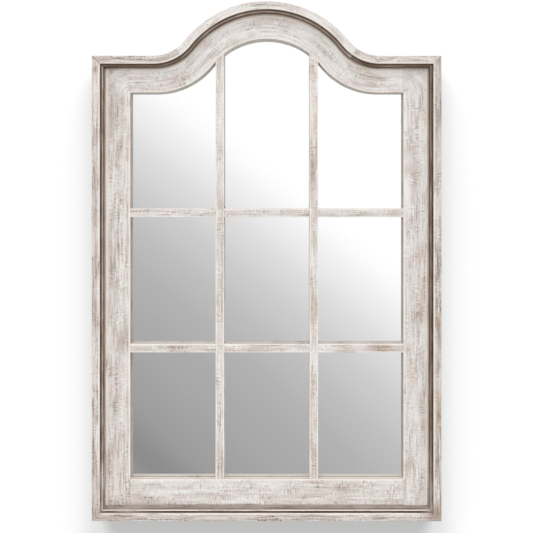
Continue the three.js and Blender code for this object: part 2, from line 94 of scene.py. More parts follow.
low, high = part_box("muntin_vertical_right")
muntin_x = (low.x + high.x) / 2
muntin_half = (high.x - low.x) / 2
lip_back = -high.y
row_zs = []
for level in ("lower", "upper"):
    low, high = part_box("muntin_horizontal_" + level)
    row_zs.append((low.z + high.z) / 2)
print("frame", round(half_width * 2, 3), "m wide, crown", round(crown_top - foot_z, 3), "m above the foot")

# %% [markdown]
# ## The camera
#
# The photograph looks straight at the mirror. The insides of the upright lips show on both sides, so
# the lens is close and wide, about 1.1 m away. The top faces of the level bars show too, so the eye is
# above the middle, and the lens is shifted down rather than tilted: that keeps the sides parallel.

# %% Camera at the photograph's angle
photo_pixels = 533
mm_per_pixel = 2.286
camera_distance = 1140 * mm
eye_height = 740 * mm  # above the foot
foot_pixel = 521.5  # the photograph's row where the foot edge lies
centre_pixel = 266.6  # the photograph's column of the frame's middle
camera_aside = 30 * mm  # the lens is a little right of the middle

view_width = photo_pixels * mm_per_pixel * mm
lens_data = bpy.data.cameras.new("camera")
lens_data.sensor_width = 36
lens_data.lens = lens_data.sensor_width * camera_distance / view_width
camera = bpy.data.objects.new("camera", lens_data)
bpy.context.scene.collection.objects.link(camera)
view_x = (photo_pixels / 2 - centre_pixel) * mm_per_pixel * mm
camera.location = (camera_aside, -band_depth - camera_distance, foot_z + eye_height)
camera.rotation_euler = (radians(90), 0, 0)
middle_z = foot_z + (foot_pixel - photo_pixels / 2) * mm_per_pixel * mm
lens_data.shift_x = (view_x - camera.location.x) / view_width
lens_data.shift_y = (middle_z - camera.location.z) / view_width
bpy.context.scene.camera = camera


def at_pixel(column, row, depth=band_depth):
    """x and z of the point that the photograph shows at that pixel, on a plane at that depth."""
    away = 1 + (band_depth - depth) / camera_distance
    x = (column - centre_pixel) * mm_per_pixel * mm
    z = foot_z + (foot_pixel - row) * mm_per_pixel * mm
    eye = camera.location
    return eye.x + (x - eye.x) * away, eye.z + (z - eye.z) * away


print("camera", tuple(round(c, 3) for c in camera.location), "shift", round(lens_data.shift_y, 4))

# %% [markdown]
# ## Shader sums written as Python
#
# A shader is a web of small nodes. One class wraps a socket and gives it the usual operators, so
# `1 - mask * 0.5` adds the Math nodes for it. Colours and vectors go through Vector Math and Mix,
# since a Math node would turn them grey. One method makes any other node.


# %% A socket that can be used in sums
def feed(socket, value):
    """Links a wire to a socket, or sets the socket's own value."""
    if isinstance(value, Wire):
        socket.id_data.links.new(value.socket, socket)
    else:
        socket.default_value = value


class Wire:
    """An output socket. Sums on it add nodes."""

    def __init__(self, web, socket):
        self.web = web
        self.socket = socket

    def _sum(self, operation, first, second):
        wide = any(isinstance(v, Wire) and v.socket.type in ("VECTOR", "RGBA") for v in (first, second))
        wide = wide or isinstance(second, (tuple, Vector))
        inputs = {0: first, 1: second}
        return self.web.add("VectorMath" if wide else "Math", inputs, operation=operation)

    def __add__(self, other):
        return self._sum("ADD", self, other)

    def __radd__(self, other):
        return self._sum("ADD", other, self)

    def __sub__(self, other):
        return self._sum("SUBTRACT", self, other)

    def __rsub__(self, other):
        return self._sum("SUBTRACT", other, self)

    def __mul__(self, other):
        return self._sum("MULTIPLY", self, other)

    def __rmul__(self, other):
        return self._sum("MULTIPLY", other, self)

    def smooth(self, low, high):
        """0 below low, 1 above high, and an even curve between. It falls where low is above high."""
        inputs = {"Value": self, "From Min": low, "From Max": high}
        return self.web.add("MapRange", inputs, interpolation_type="SMOOTHSTEP")

    def mix(self, first, second):
        """The first colour where the wire is 0, the second where it is 1."""
        return self.web.add("Mix", {0: self, 6: first, 7: second}, output=2, data_type="RGBA")


# %% A web of nodes
class Web:
    """The nodes of one material or of the world."""

    def __init__(self, owner):
        owner.use_nodes = True
        self.owner = owner
        self.tree = owner.node_tree
        self.tree.nodes.clear()

    def add(self, kind, inputs=None, output=0, stops=(), **settings):
        """A node of that kind, with its settings first and then its inputs. Gives one output."""
        node = self.tree.nodes.new("ShaderNode" + kind)
        for name, value in settings.items():
            setattr(node, name, value)
        if stops:
            self.set_stops(node.color_ramp, stops)
        for name, value in (inputs or {}).items():
            feed(node.inputs[name], value)
        return Wire(self, node.outputs[output]) if node.outputs else None

    def set_stops(self, ramp, stops):
        """Places and colours of a colour ramp, from the left to the right."""
        ramp.interpolation = "CARDINAL"
        ramp.elements[-1].position = stops[-1][0]
        for at, _ in stops[1:-1]:
            ramp.elements.new(at)
        for element, (at, colour) in zip(ramp.elements, stops):
            element.position = at
            element.color = colour

    def ramp(self, codes, first, last, place):
        """Screen colours at even steps from first to last, picked by a wire."""
        low, high = min(first, 0.0), max(last, 1.0)
        step = (last - first) / (len(codes) - 1)
        stops = [((first + step * i - low) / (high - low), paint(code)) for i, code in enumerate(codes)]
        return self.add("ValToRGB", {"Fac": (place - low) * (1 / (high - low))}, stops=stops)

    def attribute(self, name, output="Fac"):
        return self.add("Attribute", output=output, attribute_name=name)

    def here(self):
        """The place on the object, in metres."""
        return self.add("TexCoord", output="Object")

    def spots(self, place, size, detail=2.0, roughness=0.5):
        """Cloudy noise, whose spots have that size in metres along each axis."""
        stretched = place * tuple(1 / s for s in size)
        inputs = {"Vector": stretched, "Scale": 1.0, "Detail": detail, "Roughness": roughness}
        return self.add("TexNoise", inputs)

    def finish(self, colour, roughness, metallic=0.0, height=None, relief=0.0):
        """Ends in a surface shader and gives the material. height is a wire in the range 0 to 1,
        and relief its depth in metres."""
        inputs = {"Base Color": colour, "Roughness": roughness, "Metallic": metallic}
        if height is not None:
            bump = {"Strength": 1.0, "Distance": relief, "Height": height}
            inputs["Normal"] = self.add("Bump", bump)
        surface = self.add("BsdfPrincipled", inputs)
        self.add("OutputMaterial", {"Surface": surface})
        return self.owner


def new_material(name):
    """An empty material, as the web that fills it."""
    return Web(bpy.data.materials.new(name))


def paint(code):
    """A colour written as on a screen, as the linear values that a shader needs."""
    parts = [int(code[i : i + 2], 16) / 255 for i in (1, 3, 5)]
    return tuple(p / 12.92 if p < 0.04045 else ((p + 0.055) / 1.055) ** 2.4 for p in parts) + (1.0,)


print("shader helpers ready")

# %% [markdown]
# ## Limed wood
#
# Liming is a pale wash that is brushed on and partly wiped off. It leaves streaks along the grain,
# thin places where the mauve-grey ground shows, rubbed cream arrises, and dark stain in the grooves
# that the rag never reached. The same dark and cream are also used as painted shade and painted
# highlight: dark on walls that face down or away from the light and next to the glass, cream on
# walls and beads that face the light. Each wooden piece carries seven values that the shader reads:
# `grain` (metres along the board, metres across it, and a number for the board), `dirt`
# (how deep in a groove, and painted shade), `rub` (worn on an arris, and painted
# highlight), `raw` (never washed, at the back), `cover` (more or less wash than the rest), `warm`
# (where hands have worn it down to the timber) and `calm` (brushed across, so that few streaks are
# left). Pin holes and chips are smaller than the mesh's points, so the shader places them by their
# distance.

# %% The limed finish
coats = ("#94857b", "#b3a69e", "#cbc1ba", "#ddd6d1", "#ebe7e3", "#f3f0ec")
# groove stain colours, also used for painted shade
stains_and_shade = ("#bbb2ab", "#a3978e", "#877467", "#685447", "#4c3a2f")
pit_paint = paint("#9b8b80")
pin_paint = paint("#6f5c4e")
cream_rub_and_highlight = paint("#faf3ea")
timber_paints = (paint("#a3825f"), paint("#d2b796"))
mauve_tint = (1.0, 0.955, 0.972)
cool_tint = (0.955, 0.995, 0.98)
tan_tint = (0.970, 0.915, 0.845)


def limed_wood(name, pins):
    """pins gives x, z and a radius for each dark spot."""
    web = new_material(name)
    place = web.attribute("grain", "Vector")
    dirt, rub, warm, calm = (web.attribute(value) for value in ("dirt", "rub", "warm", "calm"))

    def cloud(along, across, shift=None, **settings):
        """Spots of that size. A shift gives another draw of the noise."""
        return web.spots(place + shift if shift else place, (along, across, 1), **settings)

    broad = cloud(0.19, 0.020)
    patch = cloud(0.060, 0.030, detail=3.0, roughness=0.6)
    streak = cloud(0.075, 0.0042, detail=3.0, roughness=0.6)
    hair = cloud(0.030, 0.0013, roughness=0.6)
    brush = cloud(0.0030, 0.013)
    mottle = cloud(0.0052, 0.0040, roughness=0.7)

    busy = cloud(0.080, 0.030, (2.4, 1.1, 0.0), detail=1.0).smooth(0.36, 0.64)
    crossed = cloud(0.035, 0.045, (0.9, 0.3, 0.0), detail=1.0).smooth(0.46, 0.60)
    tone = (streak - 0.5) * 1.8 + (hair - 0.5) * 1.1 + (mottle - 0.5) * 0.8
    tone = tone * (busy * 0.9 + 0.55) * (1 - calm * 0.5)
    tone = tone + (brush - 0.5) * (crossed * 1.2 + calm * 0.7)
    tone = tone + (broad - 0.5) + (patch - 0.5)
    coverage = tone * 0.72 + web.attribute("cover") + 0.56
    colour = web.ramp(coats, 0.08, 0.92, coverage)

    mauve = cloud(0.055, 0.009, (3.1, 0.7, 0.0))
    colour = mauve.smooth(0.48, 0.66).mix(colour, colour * mauve_tint)
    cool = cloud(0.060, 0.010, (5.3, 2.2, 0.0))
    colour = cool.smooth(0.50, 0.68).mix(colour, colour * cool_tint)
    tan = cloud(0.070, 0.022, (7.7, 1.9, 0.0), detail=3.0)
    colour = (tan + warm * 0.26).smooth(0.56, 0.78).mix(colour, colour * tan_tint)

    pit = web.add("TexVoronoi", {"Vector": place * (75, 140, 1), "Scale": 1.0}, output="Distance")
    pits = pit.smooth(0.20, 0.08) * patch.smooth(0.50, 0.40)
    colour = (pits * 0.55).mix(colour, pit_paint)
    where = web.here() * (1, 0, 1)
    for x, z, radius in pins:
        ends = {0: where + (mottle - 0.5) * 0.003, 1: (x, 0, z)}
        away = web.add("VectorMath", ends, output="Value", operation="DISTANCE")
        colour = (away.smooth(radius * 1.3, radius * 0.6) * 0.8).mix(colour, pin_paint)

    # cream: worn wash on the arrises, and a painted highlight on walls and beads that face the light
    worn = rub * (streak * 0.6 + patch * 0.6).smooth(0.38, 0.58)
    colour = (worn * 0.92).mix(colour, cream_rub_and_highlight)
    # dark: stain in grooves and at joints, and painted shade on walls that face away from the light or meet the
    # glass
    depth = dirt + (streak - 0.5) * 0.9 + (patch - 0.5) * 0.8 - rub * 0.3
    stain = web.ramp(stains_and_shade, 0.25, 1.15, depth + (hair - 0.5) * 0.5)
    colour = depth.smooth(0.12, 0.50).mix(colour, stain)

    pore = cloud(0.020, 0.0006, roughness=0.6)
    timber = (streak * 0.6 + pore * 0.6 - 0.1).smooth(0.25, 0.75).mix(*timber_paints)
    colour = web.attribute("raw").mix(colour, timber)
    height = streak * 0.45 + hair * 0.35 + mottle * 0.2
    return web.finish(colour, 0.60 + streak * 0.25, height=height, relief=0.30 * mm)


dark_spots = {  # how deep they lie, then column, row and radius in mm of each pin hole and chip
    "limed_band": (band_depth, (
        (160, 62, 1.6), (207, 24.5, 1.6), (436, 444, 1.6), (436.7, 471.2, 1.6), (259, 520.6, 2.2),
        (262, 520.8, 2.2), (265, 520.6, 2.2), (273, 516.5, 2.2), (277, 518.6, 2.2), (281, 520.4, 2.2),
    )),
    "limed_board": (board_front, ((121.5, 495, 1.5),)),
    "limed_bar": (board_front, ((312.0, 366.5, 1.5), (314.8, 374.5, 1.5))),
}
finishes = {}
for name, (depth, spots) in dark_spots.items():
    pins = [at_pixel(column, row, depth) + (radius * mm,) for column, row, radius in spots]
    finishes[name] = limed_wood(name, pins)
print("limed finishes:", ", ".join(finishes))

# %% [markdown]
# Some places are worn in their own way: the lower corners are handled bare and warm, and one upper
# corner got a thick dab of wash. Each is a soft round patch, which changes `cover` and `warm` at the
# points of the mesh near it, and may leave grooves and arrises plain.

# %% Worn and thickly washed places
patches = (  # the photograph's column and row, radius in mm, then cover, warm and plain
    (95, 512, 30, -0.14, 0.9, 0.9), (112, 516, 50, -0.20, 0.5, 0.2), (436, 512, 40, -0.24, 0.8, 0.7),
    (103, 480, 60, -0.03, 0.2, 0.6), (125, 508, 70, -0.08, 0.1, 0.6), (95, 70, 12, -0.22, 0.5, 0),
    (408, 470, 24, -0.10, 0.9, 0.3), (425, 490, 60, -0.02, 0.1, 0.4), (130, 486, 34, -0.06, 0.5, 0.2),
    (127, 80, 40, 0.05, 0.4, 0), (127, 150, 60, 0, 0.45, 0), (415, 85, 34, 0.10, 0, 0),
    (412, 250, 50, 0.06, 0, 0), (358, 80, 22, -0.10, 0.3, 0), (355, 60, 30, -0.08, 0.4, 0.3),
    (185, 492, 60, 0.03, 0, 0), (424, 252, 44, -0.16, 0.7, 0), (424, 318, 44, -0.16, 0.7, 0),
    (368, 64, 44, -0.02, 0.7, 0), (366, 56, 26, 0.10, 0, 0), (180, 347, 70, -0.08, 0.3, 0),
    (262, 347, 60, -0.07, 0.3, 0), (312, 130, 90, -0.05, 0.5, 0), (311, 320, 60, 0.02, 0.5, 0),
    (343, 347, 40, -0.16, 0.9, 0), (380, 347, 44, -0.20, 0.9, 0), (438, 300, 90, -0.02, 0.5, 0),
    (438, 400, 120, -0.02, 0.6, 0), (95, 190, 120, 0, 0.25, 0),
)
patch_places = [at_pixel(column, row) + (radius * mm, *rest) for column, row, radius, *rest in patches]


def wear(x, z):
    """cover, warm and plain at a place on the frame. Where it is plain, stain and painted shade fade, and so do
    rub and painted highlight.
    """
    cover, warm, plain = 0.0, 0.0, 0.0
    for patch_x, patch_z, radius, more_cover, more_warm, more_plain in patch_places:
        share = max(0.0, 1 - hypot(x - patch_x, z - patch_z) / radius)
        share = share * share * (3 - 2 * share)
        cover += share * more_cover
        warm += share * more_warm
        plain = max(plain, share * more_plain)
    return cover, warm, plain


print("patches:", len(patches))

# %% [markdown]
# ## Carrying a section along a path
#
# A moulding is made by pushing one section along the edge of the frame. The path is cut into legs,
# straight or curved, and a leg knows where a point lies that is `inset` metres from the outer edge.
# Its ends may depend on the inset, which makes a mitre, or an upright joint across a curve. The
# section may change on the way, so an arris wears more in one place than in another.


# %% Legs of the path
class Leg:
    """A stretch of the frame's edge. Its start and end are numbers or functions of the inset, place
    gives x and z, and reach is how many metres one unit of s is worth."""

    def __init__(self, place, start, end, reach=1.0, breaks=()):
        self.place = place
        self.start = start if callable(start) else lambda inset: start
        self.end = end if callable(end) else lambda inset: end
        self.reach = reach
        self.breaks = breaks

    def length(self, inset):
        return abs(self.end(inset) - self.start(inset)) * self.reach

    def steps(self, inset, spacing):
        """Shares of the way, about evenly spaced, with a close pair at each break."""
        count = max(2, ceil(self.length(inset) / spacing))
        shares = {round(i / count, 6) for i in range(count + 1)}
        whole = self.end(inset) - self.start(inset)
        for at in self.breaks:
            share = (at - self.start(inset)) / whole
            shares |= {share - break_width / abs(whole), share + break_width / abs(whole)}
        return sorted(share for share in shares if 0 <= share <= 1)


break_width = 0.05 * mm  # half the width of a step in the section
stain_width = 0.9 * mm  # how far the stain of a joint reaches along the bar


def side(hand):
    return lambda s, inset: (hand * (half_width - inset), s)


def foot(s, inset):
    return s, foot_z + inset


def head(s, inset):
    return s, shoulder_z - inset


def shoulder(hand):
    """The concave arc. s is the angle from straight down towards the crown."""

    def place(s, inset):
        radius = shoulder_radius + inset
        return hand * (shoulder_centre_x - radius * sin(s)), shoulder_centre_z - radius * cos(s)

    return place


def crown(s, inset):
    """The convex arc. s is the angle from straight up."""
    radius = crown_radius - inset
    return radius * sin(s), crown_centre_z + radius * cos(s)


def crown_legs(joint, inset):
    """Up a concave arc from a joint, over the crown, and down to the other joint."""
    rise = Leg(shoulder(-1), joint, sweep, shoulder_radius + inset)
    over = Leg(crown, -sweep, sweep, crown_radius - inset)
    fall = Leg(shoulder(1), sweep, joint, shoulder_radius + inset)
    return [rise, over, fall]


print("path legs ready, the crown sweeps", round(sweep * 2, 2), "radians")

# %% [markdown]
# ## Points of a section
#
# A section is a list of points round the bar. Each says how far in and how deep it lies, and how
# dirty, rubbed or raw it is there. Smooth noise lets an arris grow rounder and a face dip a little,
# as they do on wood that was scraped by hand.


# %% Helpers for sections
def wander(u, seed, size):
    """Smooth noise from -1 to 1 along a length."""
    return noise.noise(Vector((u / size, seed * 7.31, 0.5)))


def dip(u, across, seed, depth, length, width):
    """How far a scraped face lies below its plane, in hollows of that length and width."""
    return depth * (1 + noise.noise(Vector((u / length, across / width, seed))))


def point(inset, depth, dirt=0.0, rub=0.0, raw=0.0):
    return (inset, depth, dirt, rub, raw)


def between(first, last, count):
    """Values from first to last, without either end."""
    return [first + (last - first) * i / (count + 1) for i in range(1, count + 1)]


def arc(centre_a, centre_b, radius, first, last, steps):
    """Points on an arc, from one angle to another, in degrees."""
    turns = [radians(first + (last - first) * i / steps) for i in range(steps + 1)]
    return [(centre_a + radius * cos(turn), centre_b + radius * sin(turn)) for turn in turns]


def quarter(inset, depth, radius, first, last, steps, **marks):
    """A rounded arris about a centre."""
    return [point(*at, **marks) for at in arc(inset, depth, radius, first, last, steps)]


print("section helpers ready")


# %% From points to pieces
def ring_of(mesh, corners):
    return [mesh.verts.new(corner) for corner in corners]


def skin(mesh, rows, ends="capped"):
    """Joins each row of points to the next with faces. The ends are capped, joined or left open."""
    rings = [ring_of(mesh, row) for row in rows]
    pairs = list(zip(rings, rings[1:])) + ([(rings[-1], rings[0])] if ends == "joined" else [])
    for ring, after in pairs:
        for i in range(len(ring)):
            j = (i + 1) % len(ring)
            mesh.faces.new((ring[i], ring[j], after[j], after[i]))
    if ends == "capped":
        mesh.faces.new(rings[0])
        mesh.faces.new(list(reversed(rings[-1])))
    return rings


def make_piece(name, mesh, marks=None, solid=True):
    """Turns a bmesh into an object, smooth but for its real edges, with the finish's values."""
    if solid:
        bmesh.ops.recalc_face_normals(mesh, faces=mesh.faces)
    data = bpy.data.meshes.new(name)
    mesh.to_mesh(data)
    mesh.free()
    data.shade_smooth()
    data.set_sharp_from_angle(angle=radians(38))
    if marks:
        grain = data.attributes.new("grain", "FLOAT_VECTOR", "POINT")
        grain.data.foreach_set("vector", [v for mark in marks for v in mark[0]])
        for index, value in enumerate(("dirt", "rub", "raw", "cover", "warm", "calm"), start=1):
            layer = data.attributes.new(value, "FLOAT", "POINT")
            layer.data.foreach_set("value", [mark[index] for mark in marks])
    piece = bpy.data.objects.new(name, data)
    bpy.context.scene.collection.objects.link(piece)
    return piece


def dress(mesh, node, slot, body="frame", marks=None):
    """A piece that stands for a node of the measured model, in that slot's finish."""
    piece = make_piece(slot.split("_")[0] + "_" + node, mesh, marks)
    piece.data.materials.append(finishes[slot])
    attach(piece, body)
    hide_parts(node)
    return piece


print("piece helpers ready")


# %% The sweep
def build_bar(
    node, slot, legs, section, spacing, middle, seed, grain=None, cover=0.0, end_stain=(0, 0), calm=0.0
):
    """Pushes the section along the legs. The steps are measured at the inset called middle."""
    rows = []
    marks = []
    travelled = 0.0
    for number, leg in enumerate(legs):
        length = leg.length(middle)
        shares = leg.steps(middle, spacing)
        at_end = {}
        if leg is legs[0]:
            shares.insert(1, stain_width / length)
            at_end[0] = end_stain[0]
        if leg is legs[-1]:
            shares.insert(-1, 1 - stain_width / length)
            at_end[1] = end_stain[1]
        for share in shares:
            if number and share == 0:
                continue
            s_middle = leg.start(middle) + share * (leg.end(middle) - leg.start(middle))
            row = []
            across = 0.0
            before = None
            for inset, depth, dirt, rub, raw in section(travelled + share * length, s_middle):
                s = leg.start(inset) + share * (leg.end(inset) - leg.start(inset))
                x, z = leg.place(s, inset)
                if before:
                    across += hypot(inset - before[0], depth - before[1])
                before = (inset, depth)
                along = travelled + abs(s - leg.start(middle)) * leg.reach
                here = grain(x, z, inset, depth, along) if grain else (along, across, seed)
                row.append((x, -depth, z))
                more_cover, warm, plain = wear(x, z)
                dirt = max(dirt * (1 - plain), at_end.get(share, 0.0))
                marks.append((here, dirt, rub * (1 - plain), raw, cover + more_cover, warm, calm))
            rows.append(row)
        travelled += length

    mesh = bmesh.new()
    skin(mesh, rows)
    return dress(mesh, node, slot, marks=marks)


print("sweep ready")

# %% [markdown]
# ## The band
#
# The band is the raised moulding round the outside: a flat face with eased arrises, then on its inner
# side a narrow quirk, a small bead, and a drop to the boards. Stain sits in the quirk and on the
# drop, with painted shade over it: darkest at the head, where these faces turn down, and fading on the
# drop towards the boards like a soft shadow. The arris over the quirk is rubbed to a cream line, which
# is also a painted highlight and runs a little way down the quirk's wall; the foot's bead and the drop
# next to the boards get a painted highlight too. It is mitred at the four corners, and
# the head is sawn from three lengths with square joints across the curve.

# %% The band's section
band_face = 18 * mm
band_arris = 1.6 * mm
quirk_width = 3.6 * mm
quirk_floor = band_depth - 6 * mm
bead_radius = (band_width - band_face - quirk_width) / 2
bead_depth = band_depth - 3 * mm - bead_radius
bead_steps = 8
joint_gap = 0.2 * mm
rub_reach = 0.8 * mm  # how far the rub and painted highlight go on past an arris
quirk_highlight_reach = 2.0 * mm  # how far the painted highlight runs down the quirk's wall before the stain and shade start
drop_shade_fade = (0.0, 0.1, 0.5, 1.0)  # how far the drop's painted shade has faded at each step towards the boards, like a soft shadow


def band_section(seed, quirk_stain_and_shade, bead_stain_and_shade, drop_stain_and_shade, bead_rub=0.15, shade_left_by_boards=0.2):
    """Stain and painted shade of the quirk, the bead's crest and the drop, rub and painted highlight on the crest,
    and the share of the drop's stain and shade that is left next to the boards; the rest turns to painted
    highlight."""

    def section(u, s):
        outer = band_arris * (1 + 0.45 * wander(u, seed, 0.05) + 0.3 * wander(u, seed + 1, 0.013))
        inner = band_arris * (0.9 + 0.3 * wander(u, seed + 2, 0.06))
        front = band_depth - 0.12 * mm * (1 + wander(u, seed + 3, 0.04))
        face = band_face - inner
        bead = []
        for k, at in enumerate(arc(band_width - bead_radius, bead_depth, bead_radius, 180, 0, bead_steps)):
            crest = sin(pi * k / bead_steps)
            stain = quirk_stain_and_shade + (bead_stain_and_shade - quirk_stain_and_shade) * crest
            bead.append(point(*at, dirt=stain, rub=bead_rub * crest))
        drop = []
        # the drop: painted shade fading towards the boards, where it turns into a painted highlight
        for faded, depth in zip(drop_shade_fade, between(bead_depth, board_front, 3) + [board_front]):
            share = 1 - faded * (1 - shade_left_by_boards)
            drop.append(point(band_width, depth, dirt=drop_stain_and_shade * share, rub=1 - share))
        return [
            point(0, 0, raw=1),
            *(point(0, depth) for depth in between(0, front - outer, 5)),
            *quarter(outer, front - outer, outer, 180, 90, 4, dirt=0.10),
            *(point(inset, front) for inset in between(outer + mm, face - mm, 4)),
            point(face - rub_reach, front, rub=0.5),
            *quarter(face, front - inner, inner, 90, 0, 4, rub=1.0),
            # the cream runs down the quirk's wall as a painted highlight
            point(band_face, front - inner - rub_reach, rub=0.8, dirt=0.1),
            point(band_face, front - inner - quirk_highlight_reach, dirt=quirk_stain_and_shade),
            point(band_face, quirk_floor, dirt=quirk_stain_and_shade),
            point(band_face + quirk_width, quirk_floor, dirt=quirk_stain_and_shade),
            *bead,
            *drop,
            point(band_width, 0, raw=1),
        ]

    return section


def mitre(limit, direction, gap=joint_gap):
    """An end that runs in by as much as the inset, less the joint's gap."""
    return lambda inset: limit + direction * (inset + gap * sqrt(0.5))


def band_length(name, legs, seed, end_stain, cover, stains_and_shade):
    shape = (legs, band_section(seed, *stains_and_shade), 5 * mm, band_face / 2, seed)
    return build_bar("band_" + name, "limed_band", *shape, cover=cover, end_stain=end_stain)


print("quirk", round(quirk_width / mm, 1), "mm wide, bead radius", round(bead_radius / mm, 1), "mm")

# %% The band's six lengths
open_mitre = 0.5 * mm  # the upper left mitre has opened
joint_turn = joint_gap / 2 / shoulder_radius
plain_ends = (0.3, 0.3)
sides = {"left": -1, "right": 1}
# the head's quirk, bead and drop face down: stain and painted shade, darkest here
head_stains_and_shade = (0.90, 0.95, 1.0)
band_looks = {  # gap and stain of the upper mitre, cover of the head and of the side, the side's stain and painted shade
    "left": (open_mitre, 0.95, -0.21, -0.09, (0.80, 0.45, 0.75)),
    "right": (joint_gap, 0.55, -0.07, -0.15, (0.95, 0.66, 0.90)),
}
for seed, (hand, h) in enumerate(sides.items()):
    gap, stain, head_cover, *side_looks = band_looks[hand]
    upright = Leg(side(h), mitre(foot_z, 1), mitre(shoulder_z, -1, gap))
    band_length(hand, [upright], 11 + seed, (0.3, stain), *side_looks)
    level = Leg(head, mitre(h * half_width, -h, gap), h * shoulder_centre_x)
    bend = Leg(shoulder(h), 0, band_joint_angle - joint_turn, shoulder_radius)
    band_length("shoulder_" + hand, [level, bend], 13 + seed, (stain, 0.3), head_cover, head_stains_and_shade)
level = Leg(foot, mitre(-half_width, 1), mitre(half_width, -1))
# the foot's bead faces up: a painted highlight in place of stain; its drop keeps most of its painted shade
band_length("foot", [level], 15, plain_ends, -0.14, (0.95, 0.05, 0.50, 1.0, 0.8))
# the crown's quirk, bead and drop: stain and painted shade, as at the head
over_crown = crown_legs(band_joint_angle + joint_turn, 0)
band_length("crown", over_crown, 16, plain_ends, 0.05, (0.80, 0.60, 0.95))
print("band: six lengths")

# %% [markdown]
# ## The board frame
#
# Two stiles run from top to bottom, and the foot rail and the three boards of the head stand between
# them on dowels. The wash was brushed on after gluing up, so the strokes follow the frame and turn
# the upper corners without a break. One shared `grain` runs along the whole path to do the same.

# %% The boards' section
board_arris = 1.5 * mm
butt_arris = 0.15 * mm  # a joint's edge stays nearly sharp
glass_stain_shade_start = lip_back + 1.2 * mm  # how deep the stain and painted shade next to the glass start
glass_stain_shade_full = lip_back + 0.4 * mm  # and where it is full
outer_fade = 2.6 * mm  # how far the outer arris's marks reach onto the face
under_arris = 0.6 * mm  # where the wall below an arris has its first marks


def board_section(face, seed, column_count, inner_butt, lip, outer_marks):
    """inner_butt says where the inner edge meets another board. lip gives painted shade and highlight on the wall
    to the glass, stain and painted shade next to the glass, and a painted shade line under the arris. outer_marks
    are those of the outer arris."""
    dirty, rubbed = outer_marks
    wall_dirt, wall_rub, glass_dirt, arris_dirt = lip

    def section(u, s):
        butt = inner_butt and inner_butt(s)
        free = 0.0 if butt else 1.0
        edge = band_width + face - (joint_gap / 2 if butt else 0)
        back = board_back if butt else lip_back
        outer = board_arris * (0.95 + 0.35 * wander(u, seed, 0.06) + 0.2 * wander(u, seed + 1, 0.015))
        inner = board_arris * (0.95 + 0.35 * wander(u, seed + 2, 0.05) + 0.25 * wander(u, seed + 3, 0.012))
        if butt:
            inner = butt_arris
        first, low = board_edge + outer, board_front - inner
        columns = between(first + 3 * mm, edge - inner - 2 * mm, column_count)
        wall = between(low - mm, glass_stain_shade_start, 3) + [glass_stain_shade_start]
        return [
            point(board_edge, board_back, raw=1),
            # painted shade in the gap against the band
            point(board_edge, board_front - outer - mm, dirt=0.7),
            *quarter(first, board_front - outer, outer, 180, 90, 4, dirt=dirty, rub=rubbed),
            point(first + mm, board_front, dirt=dirty, rub=rubbed),
            point(first + outer_fade, board_front, dirt=dirty * 0.55, rub=rubbed * 0.55),
            *(point(c, board_front - dip(u, c, seed, 0.14 * mm, 0.03, 0.009)) for c in columns),
            point(edge - inner - rub_reach, board_front, rub=0.4 * free),
            *quarter(edge - inner, low, inner, 90, 0, 4, rub=free),
            # below the arris: a painted shade line, the wall's painted shade and highlight, then stain and painted
            # shade at the glass
            point(edge, low - under_arris, dirt=arris_dirt * free),
            *(point(edge, depth, dirt=wall_dirt * free, rub=wall_rub * free) for depth in wall),
            point(edge, glass_stain_shade_full, dirt=glass_dirt),
            point(edge, back, dirt=1.0, raw=1),
            point(edge - rebate_width, back, raw=1),
            point(edge - rebate_width, board_back, raw=1),
        ]

    return section


print("rebate", round(rebate_width / mm), "mm wide,", round((lip_back - board_back) / mm, 1), "mm deep")


# %% Grain that turns the upper corners
turn_radius = 40 * mm
wobble = 5 * mm
stile_run = sight_shoulder_z - sight_foot_z
head_start = stile_run + turn_radius * pi / 2
shared_board = 3.0
right_shift = 5.0  # the right side gets strokes of its own


def stile_grain(x, z, inset, depth, along):
    """Straight strokes up the stile, then round the corner about the sight corner."""
    out = abs(x) - sight_x
    up = z - sight_shoulder_z
    shift = right_shift * (x > 0)
    below = board_front - depth
    if up <= 0:
        return (z - sight_foot_z + shift, out + below, shared_board)
    angle = atan2(up, max(out, 1e-6))
    stir = wobble * sin(2 * angle) * noise.noise(Vector((x / 0.022, 0, z / 0.022)))
    return (stile_run + turn_radius * angle + shift, hypot(out, up) + below + stir, shared_board)


def head_grain(x, z, inset, depth, along):
    """The same strokes, carried on from the corner along the head."""
    out = band_width + head_face - inset
    return (head_start + along + right_shift * (x > 0), out + board_front - depth, shared_board)


print("the strokes turn a corner in", round((head_start - stile_run) / mm), "mm")


# %% Stiles and rails
def board_length(name, face, legs, seed, looks, marks=(0.0, 1.0), columns=14, butt=None, grain=None):
    """looks gives cover, calm and the lip's four values, and marks those of the outer arris."""
    cover, calm, *lip = looks
    section = board_section(face, seed, columns, butt, lip, marks)
    shape = (legs, section, 5 * mm, band_width + face / 2, seed)
    return build_bar(name, "limed_board", *shape, grain, cover, calm=calm)


def at_joint(hand_gap):
    """The angle on the concave arc at which an inset reaches the crown joint."""
    x = board_joint_x + hand_gap
    return lambda inset: asin((shoulder_centre_x - x) / (shoulder_radius + inset))


def beyond_sight(s):
    return not sight_foot_z <= s <= sight_shoulder_z


half_gap = joint_gap / 2
